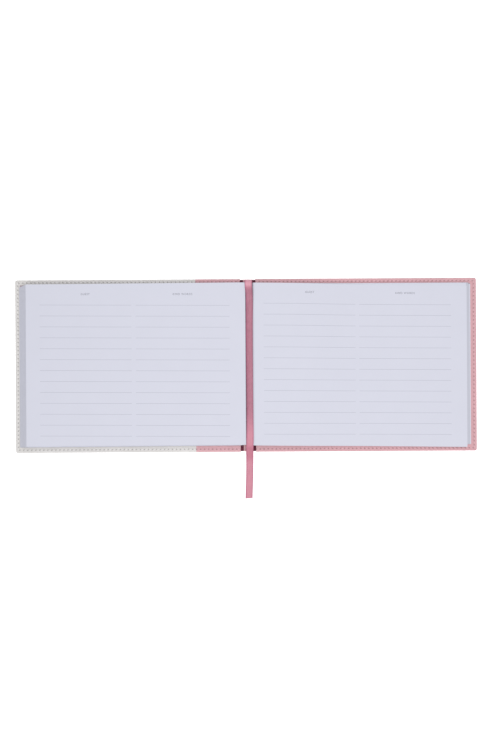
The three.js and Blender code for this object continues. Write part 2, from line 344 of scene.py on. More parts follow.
def leatherette(name, colour, sewn=True, gloss=0.42):
    """Embossed leatherette: small pebbles, finer pores, and dents where the needle went through, with
    painted shade in the dents.
    """
    size = sizes()
    skin = Surface(name)
    pebbles = skin.cells(1350.0, "SMOOTH_F1")
    pores = skin.noise(5200.0, 3.0)
    drift = skin.noise(38.0, 3.0)
    height = pebbles * 0.75 + pores * 0.25
    tone = 0.90 + drift * 0.13 - pebbles * 0.12 + pores * 0.05
    if sewn:
        stitch, aside = skin.seam_place()
        gap = (((stitch + 0.5).remainder(1.0)) - 0.5) * size.stitch_pitch
        reach = (gap * gap + aside * aside * 0.7) / (size.hole * size.hole)
        hole = 1.0 - reach.ramp(0.15, 1.7)
        groove = 1.0 - aside.magnitude().ramp(0.25, 1.0)
        height = height - hole * 2.6 - groove * 1.0
        # The needle holes and the seam groove are also darkened in the colour: painted shade in the
        # dents.
        tone = tone * (1.0 - hole * 0.22) * (1.0 - groove * 0.08)
    tint = skin.shade(colour, tone)
    roughness = 0.46 + pebbles * 0.16 + drift * 0.06
    return skin.finish(
        Base_Color=tint,
        Roughness=roughness,
        Normal=skin.bump(height, 0.00011, 0.9),
        Specular_IOR_Level=gloss,
        Coat_Weight=gloss * 0.14,
        Coat_Roughness=0.45,
    )


def stitching_thread(name, colour):
    """Two-ply thread, with its plies as slanted ridges and a fine fuzz."""
    yarn = Surface(name)
    along, around = yarn.sheet_place()
    ply = ((along * 7.5 + around * FULL_TURN).sine() * 0.5 + 0.5).power(0.7)
    fuzz = yarn.noise(9000.0, 2.0)
    tint = yarn.shade(colour, 0.78 + ply * 0.22 + fuzz * 0.08)
    return yarn.finish(
        Base_Color=tint,
        Roughness=0.62,
        Normal=yarn.bump(ply * 0.8 + fuzz * 0.2, 0.00008),
        Sheen_Weight=0.25,
        Sheen_Roughness=0.4,
    )


def bare_thread(name, colour):
    """Plain waxed linen thread."""
    yarn = Surface(name)
    fibre = yarn.noise(2600.0, 3.0, (1, 5, 5))
    tint = yarn.shade(colour, 0.85 + fibre * 0.25)
    return yarn.finish(Base_Color=tint, Roughness=0.7, Normal=yarn.bump(fibre, 0.00005))


def paper_tone(sheet, mottle_depth=0.03):
    """The faint cloudiness and fibre of uncoated paper: its tone, and its height."""
    clouds = sheet.noise(55.0, 4.0)
    fibre = sheet.noise(2400.0, 4.0, (1, 0.35, 1))
    tone = (1.0 - mottle_depth) + clouds * mottle_depth + (fibre - 0.5) * 0.03
    return tone, fibre


def plain_paper(name, colour, shade_from=None, shade_by=0.0):
    """Unprinted uncoated paper, with painted shade beyond a distance from the spine, over the fanned
    edges of the leaves.
    """
    sheet = Surface(name)
    tone, fibre = paper_tone(sheet)
    if shade_from:
        # Painted shade: beyond the top leaf's edge, where the stepped edges of the leaves below fan
        # out, the paper is darkened, with streaks.
        across, _ = sheet.sheet_place()
        shade_streaks = sheet.noise(300.0, 3.0, (1, 0.05, 1))
        fan_shade = across.ramp(shade_from - 0.6, shade_from) * (shade_by + shade_streaks * 0.06)
        tone = tone * (1.0 - fan_shade)
    tint = sheet.shade(colour, tone)
    return sheet.finish(
        Base_Color=tint,
        Roughness=0.82,
        Normal=sheet.bump(fibre, 0.00002),
        Specular_IOR_Level=0.3,
    )


def ruled_paper(name, colour, ink, columns, first_line, rise):
    """Paper printed with ruled lines: columns are spans away from the spine, in millimetres."""
    size = sizes()
    sheet = Surface(name)
    tone, fibre = paper_tone(sheet)
    across, along = sheet.sheet_place()
    drop = first_line - along + across * rise
    half, pitch = size.line_width / 2, size.line_pitch
    soft = 0.06
    near_line = ((drop + pitch / 2).remainder(pitch) - pitch / 2).magnitude()
    on_line = 1.0 - near_line.ramp(half - soft, half + soft)
    in_rows = (drop > -half - soft) * (drop < LINES_BELOW_FIRST * pitch + half + soft)
    in_columns = 0.0
    for near, far in columns:
        in_columns = (across > near) * (across < far) + in_columns
    print_share = on_line * in_rows * in_columns * (0.82 + fibre * 0.3)
    tint = sheet.mix(print_share, sheet.shade(colour, tone), ink)
    return sheet.finish(
        Base_Color=tint,
        Roughness=0.82,
        Normal=sheet.bump(fibre, 0.00002),
        Specular_IOR_Level=0.3,
    )


def endpaper_stock(name, colour):
    """Dyed endpaper with a laid texture."""
    sheet = Surface(name)
    tone, fibre = paper_tone(sheet, 0.08)
    _, along = sheet.sheet_place()
    laid = (along * FULL_TURN).sine() * 0.5 + 0.5
    tint = sheet.shade(colour, tone - laid * 0.03)
    return sheet.finish(
        Base_Color=tint,
        Roughness=0.78,
        Normal=sheet.bump(fibre * 0.6 + laid * 0.4, 0.00003),
    )


def grey_board(name, colour):
    """Pressed grey board with flecks of fibre."""
    board = Surface(name)
    flecks = board.noise(1500.0, 4.0, (1, 1, 3))
    clouds = board.noise(120.0, 2.0)
    tint = board.shade(colour, 0.7 + flecks * 0.4 + clouds * 0.15)
    return board.finish(Base_Color=tint, Roughness=0.9, Normal=board.bump(flecks, 0.00006))


def satin(name, colour):
    """Woven satin ribbon: fine ribs, with painted shade along its edges and down the gutter, and a
    painted highlight on its fold over the head of the pages.
    """
    cloth = Surface(name)
    across, along = cloth.sheet_place()
    ribs = (along * 12.5).sine() * 0.5 + 0.5
    warp = (across * 21.0).sine() * 0.5 + 0.5
    # Painted shade: both edges are darker and purpler, standing in for the shade of the pages beside
    # the ribbon, and this runs along its whole length.
    edge = across.magnitude().ramp(1.9, 3.5)
    weave = ribs * 0.6 + warp * 0.4
    slub = cloth.noise(620.0, 3.0, (1, 0.35, 1))
    # Painted shade: the stretch that lies in the gutter between the pages is darkened and made
    # purpler, standing in for the shade there.
    gutter_shade = along.ramp(33.0, 41.0) * (1.0 - along.ramp(158.0, 190.0))
    tone = 0.86 + weave * 0.1 + slub * 0.3 - edge * 0.15 - gutter_shade * (0.33 + edge * 0.05)
    shade_tint = tuple(c * k for c, k in zip(colour, (1.0, 0.76, 1.0)))
    # Painted highlight: the glued end and the fold over the head of the pages are given a lighter,
    # brighter pink.
    fold_highlight_colour = tuple(c * k for c, k in zip(colour, (1.2, 1.6, 1.45)))
    fold_highlight = 1.0 - along.ramp(34.0, 38.0)
    shades = cloth.mix(gutter_shade * 0.4 + edge * 0.5, cloth.mix(fold_highlight, colour, fold_highlight_colour), shade_tint)
    tint = cloth.shade(shades, tone)
    return cloth.finish(
        Base_Color=tint,
        Roughness=0.36 + weave * 0.12 + edge * 0.15,
        Normal=cloth.bump(weave, 0.00004, 0.7),
        Sheen_Weight=0.12,
        Sheen_Roughness=0.35,
        Specular_IOR_Level=0.45,
    )


def printed_ink(name, colour):
    """Matt printing ink, a little uneven."""
    ink = Surface(name)
    cover = ink.noise(3000.0, 2.0)
    tint = ink.shade(colour, 0.85 + cover * 0.3)
    return ink.finish(Base_Color=tint, Roughness=0.8)


# ---------------------------------------------------------------------------
# Mesh helpers
# ---------------------------------------------------------------------------


def add_mesh(name, points, faces, sheet=None, seam=None):
    """A mesh object from points in millimetres, with sheet or seam coordinates for its points."""
    mesh = bpy.data.meshes.new(name)
    mesh.from_pydata([Vector(p) * MM for p in points], [], faces)
    for layer_name, places, scale in (("sheet", sheet, MM), ("seam", seam, 1.0)):
        if places is not None:
            layer = mesh.uv_layers.new(name=layer_name)
            for loop in mesh.loops:
                u, v = places[loop.vertex_index]
                layer.data[loop.index].uv = (u * scale, v * scale)
    mesh.update()
    mesh.polygons.foreach_set("use_smooth", [True] * len(mesh.polygons))
    made = bpy.data.objects.new(name, mesh)
    bpy.context.scene.collection.objects.link(made)
    return made


def outward(piece):
    """Turns all faces of a closed mesh outwards."""
    work = bmesh.new()
    work.from_mesh(piece.data)
    bmesh.ops.recalc_face_normals(work, faces=work.faces)
    work.to_mesh(piece.data)
    work.free()
    return piece


def apply_modifiers(piece):
    """Replaces a piece's mesh by what its modifiers make of it."""
    graph = bpy.context.evaluated_depsgraph_get()
    done = bpy.data.meshes.new_from_object(piece.evaluated_get(graph))
    piece.modifiers.clear()
    piece.data = done
    return piece


def thicken(piece, thickness):
    """Gives a surface a thickness, inwards, and sharpens only its real edges."""
    solidify = piece.modifiers.new("Thickness", "SOLIDIFY")
    solidify.thickness = thickness * MM
    solidify.offset = -1
    solidify.use_even_offset = True
    apply_modifiers(piece)
    return sharpen(piece)


def sharpen(piece, degrees=40):
    """Smooth shading, with edges over an angle kept sharp."""
    piece.data.set_sharp_from_angle(angle=math.radians(degrees))
    return piece


def grid_faces(rows, columns, wrap_columns=False):
    """Quads between neighbouring rows of points."""
    faces = []
    span = columns if wrap_columns else columns - 1
    for row in range(rows - 1):
        for column in range(span):
            after = (column + 1) % columns
            low, high = row * columns, (row + 1) * columns
            faces.append((low + column, low + after, high + after, high + column))
    return faces


def finish_piece(piece, body, slot, material, *nodes):
    """Material, body and the CAD nodes that the piece stands for; the material slot argument is not
    used.
    """
    piece.data.materials.clear()
    piece.data.materials.append(material)
    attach(piece, body)
    if nodes:
        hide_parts(*nodes)
    return piece


def spaced(start, end, count):
    """Evenly spaced numbers, both ends included."""
    return [start + (end - start) * i / (count - 1) for i in range(count)]


def arc(centre, radius, start, end, count):
    """Points on an arc, angles in degrees."""
    cx, cy = centre
    angles = [math.radians(a) for a in spaced(start, end, count)]
    return [(cx + radius * math.cos(a), cy + radius * math.sin(a)) for a in angles]


# ---------------------------------------------------------------------------
# Wrapped leatherette
# ---------------------------------------------------------------------------


def wrap_profile(bottom, top, radius, turn_in, inset):
    """Inset and height of the leatherette, from the lip's inner edge round to the underside."""
    groove = ((0.8, 0.0), (0.4, 0.08), (0.0, 0.14), (-0.4, 0.08), (-0.8, 0.0))
    points = [(turn_in, top - 0.05), (turn_in - 0.4, top), (turn_in * 0.6, top)]
    points += [(inset + step, top - depth) for step, depth in groove]
    upper = arc((radius, top - radius), radius, 90, 180, 6)
    lower = arc((radius, bottom + radius), radius, 180, 270, 6)
    points += upper + lower
    points += [(inset - step, bottom + depth) for step, depth in groove]
    points += [(turn_in * 0.6, bottom), (turn_in, bottom)]
    return points


# Points along the head of a cover, and along its tail.
HEAD_POINTS = 40

# How far the flat middle of a cover stays inside its edges, in millimetres.
CORE_MARGIN = 3


def cover_outline(side, far, near, half_height, inset):
    """Points along head, fore-edge and tail of a cover, at a distance inside its edge."""
    edge_x = far - inset
    edge_y = half_height - inset
    r = max(COVER_CORNER - inset, 0.25)
    head = [(x, edge_y) for x in spaced(near, edge_x - r, HEAD_POINTS)]
    head_corner = arc((edge_x - r, edge_y - r), r, 90, 0, 7)[1:]
    fore = [(edge_x, y) for y in spaced(edge_y - r, -(edge_y - r), 32)][1:]
    tail_corner = arc((edge_x - r, -(edge_y - r)), r, 0, -90, 7)[1:]
    tail = [(x, -edge_y) for x in spaced(edge_x - r, near, HEAD_POINTS)][1:]
    return [(side * x, y) for x, y in head + head_corner + fore + tail_corner + tail]


def running_lengths(line):
    """Distance along a line at each of its points."""
    found = [0.0]
    for a, b in zip(line, line[1:]):
        found.append(found[-1] + math.dist(a, b))
    return found


def seam_step(line):
    """Length of one stitch of a line, so that a whole number of stitches fits."""
    total = running_lengths(line)[-1]
    return total / round(total / sizes().stitch_pitch)


def turn_outwards(piece, low, high):
    """Turns the faces of an open shell away from its core, a box in millimetres."""
    score = 0.0
    for face in piece.data.polygons:
        centre = face.center / MM
        core = Vector(min(max(c, a), b) for c, a, b in zip(centre, low, high))
        score += face.area * face.normal.dot(centre - core)
    if score < 0:
        piece.data.flip_normals()


def core_box(x_range, half_height, bottom, top):
    """Corners of the flat middle of a cover or strip, well inside its edges."""
    middle = (bottom + top) / 2
    reach = half_height - CORE_MARGIN
    return (x_range[0], -reach, middle), (x_range[1], reach, middle)


def wrapped_cover(name, side, far, near, half_height, bottom, top, stitch_near):
    """Leatherette wrapped round a cover's head, fore-edge and tail, and open beside the spine."""
    size = sizes()
    points, places = [], []
    profile = wrap_profile(bottom, top, size.edge_radius, size.turn_in, size.stitch_inset)
    line = cover_outline(side, far, near, half_height, size.stitch_inset)
    step = seam_step(cover_outline(side, far, stitch_near, half_height, size.stitch_inset))
    along = [(near - stitch_near + d) / step for d in running_lengths(line)]
    for inset, z in profile:
        outline = cover_outline(side, far, near, half_height, inset)
        points += [(x, y, z) for x, y in outline]
        places += [(u, inset - size.stitch_inset) for u in along]
    columns = len(line)
    faces = grid_faces(len(profile), columns)
    last = (len(profile) - 1) * columns
    across = HEAD_POINTS - 2
    for i in range(across):
        faces.append((last + i, last + i + 1, last + columns - 2 - i, last + columns - 1 - i))
    faces.append(tuple(range(last + across, last + columns - across)))
    piece = add_mesh(name, points, faces, seam=places)
    core = sorted((side * near, side * (far - CORE_MARGIN)))
    turn_outwards(piece, *core_box(core, half_height, bottom, top))
    return thicken(piece, size.leather)


def wrapped_strip(name, x_range, half_height, bottom, top, turn_in, stitch_y, stitch_from, step):
    """Leatherette over a strip that is wrapped at its head and tail only."""
    size = sizes()
    columns = 16
    inset = half_height - stitch_y
    radius = min(size.edge_radius, (top - bottom) / 2 - 0.1, inset - 0.85)
    profile = wrap_profile(bottom, top, radius, turn_in, inset)
    head = [(half_height - d, z) for d, z in profile]
    loop = head + [(-y, z) for y, z in reversed(head)]
    points, places = [], []
    for y, z in loop:
        for x in spaced(*x_range, columns):
            points.append((x, y, z))
            places.append((abs(x - stitch_from) / step, stitch_y - abs(y)))
    faces = grid_faces(len(loop), columns)
    piece = add_mesh(name, points, faces, seam=places)
    turn_outwards(piece, *core_box(x_range, half_height, bottom, top))
    return thicken(piece, size.leather)


class GUESTBOOK_OT_covers(bpy.types.Operator):
    """Leatherette of the two covers: a white panel with a pink strip, and a pink panel"""

    bl_idname = "guestbook.covers"
    bl_label = "Cover leatherette"

    def execute(self, context):
        size, colour = sizes(), colours()
        white = leatherette("White leatherette", tuple(colour.white))
        pink = leatherette("Pink leatherette", tuple(colour.pink))
        half, top = PANEL_HIGH.y, PANEL_HIGH.z
        front_near = -STRIP_HIGH.x
        far = -PANEL_LOW.x
        panel = wrapped_cover(
            "front_cover_leather", -1, far, -PANEL_HIGH.x, half, 0.1, top - 0.08, front_near
        )
        finish_piece(panel, "front_cover", "white_leatherette", white, "front_cover_panel")
        strip_x = (STRIP_LOW.x - size.seam_lap, STRIP_HIGH.x)
        step = seam_step(cover_outline(-1, far, front_near, half, size.stitch_inset))
        strip = wrapped_strip(
            "front_strip_leather",
            strip_x,
            half,
            0.0,
            top,
            size.turn_in,
            half - size.stitch_inset,
            STRIP_HIGH.x,
            step,
        )
        finish_piece(strip, "front_cover", "pink_leatherette", pink, "front_cover_strip")
        back = wrapped_cover(
            "back_cover_leather", 1, BACK_HIGH.x, BACK_LOW.x, half, 0.0, top, BACK_LOW.x
        )
        finish_piece(back, "back_cover", "pink_leatherette", pink, "back_cover_panel")
        return {"FINISHED"}


# ---------------------------------------------------------------------------
# Spine and joints
# ---------------------------------------------------------------------------


def joint_strip(name, near, far, half):
    """The leatherette that folds beside the spine: two layers, with a deep crease."""
    size = sizes()
    turn_in = size.turn_in - 1.5
    inner, outer = half - turn_in, half
    ys = spaced(-outer, -inner, 12) + spaced(0.3 - inner, inner - 0.3, 40) + spaced(inner, outer, 12)
    steps = 12
    rings = []
    for y in ys:
        from_end = half - abs(y)
        thick = 2 * size.leather if from_end <= turn_in else size.leather
        rounding = min(1.0, math.sqrt(max(from_end, 0.02) / 0.6))
        upper, lower = [], []
        for i in range(steps + 1):
            share = i / steps
            x = near + (far - near) * share
            wall = abs(2 * share - 1) ** 3
            rise = 0.9 * wall if from_end <= turn_in else 0.2 * wall
            middle = thick / 2 + 0.02
            upper.append((x, y, middle + (thick / 2) * rounding + rise * rounding))
            lower.append((x, y, middle - (thick / 2 - 0.02) * rounding))
        rings.append(upper + lower[::-1])
    points = [p for ring in rings for p in ring]
    columns = len(rings[0])
    faces = grid_faces(len(rings), columns, wrap_columns=True)
    faces.append(tuple(range(columns)))
    faces.append(tuple(range(len(points) - columns, len(points))))
    return sharpen(outward(add_mesh(name, points, faces)))


class GUESTBOOK_OT_spine(bpy.types.Operator):
    """Spine leatherette and the two folding joints beside it"""

    bl_idname = "guestbook.spine"
    bl_label = "Spine and joints"

    def execute(self, context):
        colour = colours()
        pink = leatherette("Spine leatherette", tuple(colour.pink))
        outside = leatherette("Joint leatherette", tuple(colour.pink), sewn=False)
        # Painted shade for the joints' creases, not a colour the leatherette has.
        crease_shade = leatherette("Painted crease shade", tuple(colour.crease_shade), sewn=False, gloss=0.1)
        low, high = box_mm("spine_stitching_head")
        stitch_y = (low.y + high.y) / 2
        step = seam_step([(SPINE_LOW.x, 0), (SPINE_HIGH.x, 0)])
        spine = wrapped_strip(
            "spine_wrap",
            (SPINE_LOW.x, SPINE_HIGH.x),
            SPINE_HIGH.y,
            0.0,
            SPINE_HIGH.z,
            13.0,
            stitch_y,
            SPINE_LOW.x,
            step,
        )
        finish_piece(spine, "spine", "pink_leatherette", pink, "spine_leather")
        for prefix, spine_x, cover_x in (
            ("front", SPINE_LOW.x, STRIP_HIGH.x),
            ("back", SPINE_HIGH.x, BACK_LOW.x),
        ):
            side = 1 if cover_x > spine_x else -1
            half = box_mm(f"{prefix}_hinge_leather")[1].y
            near, far = spine_x - side * 0.2, cover_x + side * 0.3
            strip = joint_strip(f"{prefix}_joint_leather", near, far, half)
            strip.data.materials.append(outside)
            strip.data.materials.append(crease_shade)
            # Upward faces take the dark crease colour as painted shade in the fold; downward faces
            # keep the plain pink.
            for face in strip.data.polygons:
                face.material_index = 1 if face.normal.z > 0.2 else 0
            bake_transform(strip)
            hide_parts(f"{prefix}_hinge_leather")
        return {"FINISHED"}


# ---------------------------------------------------------------------------
# Stitching
# ---------------------------------------------------------------------------


def along_line(line, step):
    """Places and directions in the middle of every step along a line of points."""
    lengths = running_lengths(line)
    count = round(lengths[-1] / step)
    found, index = [], 0
    for i in range(count):
        wanted = (i + 0.5) * step
        while index < len(line) - 2 and lengths[index + 1] < wanted:
            index += 1
        (ax, ay), (bx, by) = line[index], line[index + 1]
        share = (wanted - lengths[index]) / (lengths[index + 1] - lengths[index])
        heading = math.atan2(by - ay, bx - ax)
        found.append((ax + (bx - ax) * share, ay + (by - ay) * share, heading))
    return found


def stitches(name, lines, z, up, seed):
    """One mesh of separate stitches that lie along lines and sink in at both ends."""
    size = sizes()
    chance = random.Random(seed)
    rings, sides = 9, 8
    points, faces, places = [], [], []
    for line in lines:
        for x, y, heading in along_line(line, seam_step(line)):
            first = len(points)
            turn = heading + math.radians(chance.uniform(-3.5, 3.5) + 2.5)
            long = size.stitch_length * chance.uniform(0.95, 1.04)
            for ring in range(rings):
                t = -1 + 2 * ring / (rings - 1)
                radius = size.stitch_radius * (0.42 + 0.58 * (1 - abs(t) ** 3.2))
                sink = 0.34 * abs(t) ** 3 + 0.02
                for k in range(sides):
                    a = FULL_TURN * k / sides
                    side_step = radius * math.cos(a)
                    lift = radius * 0.72 * math.sin(a) - sink
                    step = t * long / 2
                    px = x + step * math.cos(turn) - side_step * math.sin(turn)
                    py = y + step * math.sin(turn) + side_step * math.cos(turn)
                    points.append((px, py, z + up * lift))
                    places.append((step, k / sides))
            for ring in range(rings - 1):
                for k in range(sides):
                    low, after = first + ring * sides, (k + 1) % sides
                    faces.append((low + k, low + after, low + sides + after, low + sides + k))
            faces.append(tuple(first + k for k in range(sides)))
            end = first + (rings - 1) * sides
            faces.append(tuple(end + k for k in reversed(range(sides))))
    return outward(add_mesh(name, points, faces, sheet=places))


class GUESTBOOK_OT_stitching(bpy.types.Operator):
    """Stitches round both covers, inside and outside, and over the ends of the spine"""

    bl_idname = "guestbook.stitching"
    bl_label = "Stitching"

    def execute(self, context):
        size, colour = sizes(), colours()
        white = stitching_thread("White thread", tuple(colour.white_thread))
        pink = stitching_thread("Pink thread", tuple(colour.pink_thread))
        half, inset = PANEL_HIGH.y, size.stitch_inset
        top = PANEL_HIGH.z - INNER_STITCH_DEPTH
        for prefix, side, near, material, slot in (
            ("front", -1, -STRIP_HIGH.x, white, "white_thread"),
            ("back", 1, BACK_LOW.x, pink, "pink_thread"),
        ):
            line = cover_outline(side, BACK_HIGH.x, near, half, inset)
            for face, z, up in (("inside", top, 1), ("outside", OUTER_STITCH_Z, -1)):
                sewn = stitches(f"{prefix}_stitches_{face}", [line], z, up, len(prefix) + up)
                node = f"{prefix}_stitching_{face}"
                finish_piece(sewn, f"{prefix}_cover", slot, material, node)
                sewn.data.materials.append(pink)
                seam = (STRIP_LOW.x - size.seam_lap) * MM
                for polygon in sewn.data.polygons:
                    on_strip = side < 0 and polygon.center.x > seam
                    polygon.material_index = 1 if on_strip else 0
        for name, end in (("head", 1), ("tail", -1)):
            low, high = box_mm(f"spine_stitching_{name}")
            y = (low.y + high.y) / 2
            line = [(SPINE_LOW.x, y), (SPINE_HIGH.x, y)]
            z = SPINE_HIGH.z - SPINE_STITCH_DEPTH
            sewn = stitches(f"spine_stitches_{name}", [line], z, 1, 7 + end)
            finish_piece(sewn, "spine", "pink_thread", pink, f"spine_stitching_{name}")
        return {"FINISHED"}


# ---------------------------------------------------------------------------
# Paper
# ---------------------------------------------------------------------------


def sheet_strip(name, line, thickness, tail, head, rows=2, skew=0.0):
    """A thin sheet that follows a line across the book, (x, z) in millimetres, from tail to head."""
    lengths = [0.0]
    for a, b in zip(line, line[1:]):
        lengths.append(lengths[-1] + math.dist(a, b))
    normals = []
    for i in range(len(line)):
        a, b = line[max(i - 1, 0)], line[min(i + 1, len(line) - 1)]
        dx, dz = b[0] - a[0], b[1] - a[1]
        long = math.hypot(dx, dz) or 1.0
        normals.append((-dz / long, dx / long))
    points, places = [], []
    half = thickness / 2
    for y in spaced(tail, head, rows):
        ring, ring_places = [], []
        for sign in (1, -1):
            order = range(len(line)) if sign > 0 else reversed(range(len(line)))
            for i in order:
                (x, z), (nx, nz) = line[i], normals[i]
                ring.append((x + sign * half * nx, y - skew * abs(x), z + sign * half * nz))
                ring_places.append((abs(x), y))
        points += ring
        places += ring_places
    columns = 2 * len(line)
    faces = grid_faces(rows, columns, wrap_columns=True)
    for end in (0, (rows - 1) * columns):
        for i in range(len(line) - 1):
            faces.append((end + i, end + i + 1, end + columns - 2 - i, end + columns - 1 - i))
    return sharpen(outward(add_mesh(name, points, faces, sheet=places)), 50)


def joined(name, parts):
    """Several mesh objects as one."""
    with bpy.context.temp_override(
        active_object=parts[0], selected_editable_objects=parts, selected_objects=parts
    ):
        bpy.ops.object.join()
    parts[0].name = name
    parts[0].data.name = name
    return parts[0]


def folded_section(node, side, slope, seed, stub=None):
    """A section of nested folded sheets: each sheet is two leaves joined by its fold.

    Its leaves step back by slope from the lowest to the highest; a stub cuts them all short.
    """
    size = sizes()
    chance = random.Random(seed)
    low, high = box_mm(node)
    fold, edge = (low.x, high.x) if side > 0 else (-high.x, -low.x)
    pitch = (high.z - low.z) / size.leaves
    middle_z = (low.z + high.z) / 2
    centre = fold + (high.z - low.z) / 2
    slide = -chance.uniform(0.0, 0.15) - SLIDE * max(0.0, 1 - (low.z - 3.3) / 8.8) * (side < 0)
    parts = []
    for k in range(size.leaves // 2):
        radius = (size.leaves / 2 - 0.5 - k) * pitch
        share = (k + 0.5) / size.leaves
        ends = [edge + slope * (0.5 - share), edge - slope * (0.5 - share)]
        ends = [end + chance.uniform(-0.06, 0.06) for end in ends]
        if stub:
            ends = [centre + stub] * 2
        spans = [end - centre for end in ends]
        low_leg = [(centre + t * spans[0], middle_z - radius) for t in (1.0, 0.66, 0.33, 0.04)]
        high_leg = [(centre + t * spans[1], middle_z + radius) for t in (0.04, 0.33, 0.66, 1.0)]
        line = low_leg + arc((centre, middle_z), radius, 270, 90, 7) + high_leg
        line = [(side * x, z) for x, z in line]
        shift = slide + chance.uniform(-0.08, 0.08)
        skew = LEFT_SKEW if side < 0 else LOW_SKEW
        sheet = sheet_strip(
            f"{node}_{k}", line, size.leaf, PAGE_TAIL + shift, PAGE_HEAD + shift, skew=skew
        )
        parts.append(sheet)
    return joined(f"{node}_sheets", parts)


def arch_share(x, root):
    """How much of its lift a leaf has at x: a steep curl by the gutter, then a long fall."""
    size = sizes()
    curl = min(max((x - root) / size.arch_curl, 0.0), 1.0)
    fall = min(max((x - size.arch_start) / size.arch_length, 0.0), 1.0)
    return (1 - (1 - curl) ** 10) * 0.5 * (1 + math.cos(math.pi * fall))


class GUESTBOOK_OT_boards(bpy.types.Operator):
    """Boards, spine lining, sewing threads, pastedowns and flyleaves"""

    bl_idname = "guestbook.boards"
    bl_label = "Boards, sewing and endpapers"

    def execute(self, context):
        colour = colours()
        board = grey_board("Grey board", tuple(colour.board))
        lining = plain_paper("Lining paper", tuple(colour.linen))
        linen = bare_thread("Linen thread", tuple(colour.linen))
        endpaper = endpaper_stock("Endpaper", tuple(colour.endpaper))
        kept = {
            "front_board": board,
            "back_board": board,
            "spine_board": board,
            "spine_lining": lining,
        }
        kept.update({f"sewing_thread_{i}": linen for i in range(1, 5)})
        for node, material in kept.items():
            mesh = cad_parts[node].data
            mesh.materials.clear()
            mesh.materials.append(material)
        for node, body, thickness in (
            ("front_pastedown", "front_cover", 0.13),
            ("front_flyleaf", "section_01", 0.11),
            ("back_pastedown", "back_cover", 0.13),
            ("back_flyleaf", "section_12", 0.11),
        ):
            low, high = box_mm(node)
            z = (low.z + high.z) / 2
            line = [(x, z) for x in spaced(low.x, high.x, 12)]
            sheet = sheet_strip(f"{node}_sheet", line, thickness, low.y, high.y, 8)
            finish_piece(sheet, body, "endpaper", endpaper, node)
        return {"FINISHED"}


class GUESTBOOK_OT_left_pages(bpy.types.Operator):
    """The nine sections on the left, the page that curls into the gutter and the turning leaf"""

    bl_idname = "guestbook.left_pages"
    bl_label = "Left pages"

    def execute(self, context):
        size, colour = sizes(), colours()
        # The left paper is darkened beyond the turning leaf's edge: painted shade over the fanned page
        # edges.
        plain = plain_paper("Page paper", tuple(colour.page), -LEAF_LOW.x, 0.17)
        rise = LEFT_LINE_RISE + LEFT_SKEW
        print_colours = tuple(colour.page), tuple(colour.ink)
        ruled = ruled_paper("Ruled left page", *print_colours, LEFT_COLUMNS, LEFT_FIRST_LINE, rise)
        lowest, highest = box_mm("section_01")[0].x, box_mm("section_09")[0].x
        slope = (highest - lowest) / 8
        for i in range(1, 10):
            node = f"section_{i:02d}"
            section = folded_section(node, -1, slope, i)
            finish_piece(section, node, "page_paper", plain, node)

        # Inner end of the top leaves: flat, then over the edge and down beside the ribbon.
        z = (LEAF_LOW.z + LEAF_HIGH.z) / 2
        dive = ((-9.0, 0.0), (-6.5, -0.01), (-4.6, -0.04), (-3.2, -0.12), (-2.2, -0.3))
        dive += ((-1.5, -0.62), (-1.0, -1.05), (-0.65, -1.6), (-0.4, -2.3), (-0.2, -3.1))
        gutter = [(-15.0, 0.0), (-12.0, 0.0), *dive, (0.1, -4.0), (0.8, -5.2), (2.0, -6.4)]
        curl = [(x, z - 0.14 + drop) for x, drop in gutter]
        under = sheet_strip(
            "left_gutter_page", curl, size.leaf, PAGE_TAIL, PAGE_HEAD, 8, skew=LEFT_SKEW
        )
        under.data.materials.append(plain)
        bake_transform(under)

        line = [(x, z) for x in spaced(LEAF_LOW.x, -24.0, 26)] + [(-18.0, z), (-13.0, z)]
        line += [(x, z + drop) for x, drop in dive]
        leaf = sheet_strip(
            "turning_page", line, size.leaf, PAGE_TAIL, PAGE_HEAD, 12, skew=LEFT_SKEW
        )
        leaf.data.materials.append(ruled)
        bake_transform(leaf)
        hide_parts("turning_leaf")
        return {"FINISHED"}


# Places of the points over the steep curl beside the gutter, as shares of its width.
CURL_STEPS = (0, 0.01, 0.02, 0.035, 0.05, 0.07, 0.09, 0.115, 0.145, 0.18, 0.22, 0.27)
CURL_STEPS += (0.34, 0.45, 0.6, 0.8, 1)


def right_leaf_root():
    """Where the leaves of the top right section leave their fold, in millimetres."""
    return box_mm("section_10")[0].x - 0.25


def right_leaf_level(m):
    """Height of a leaf of the top right section where it lies flat, in millimetres."""
    low, high = box_mm("section_10")
    return low.z + (m + 0.5) * (high.z - low.z) / sizes().leaves


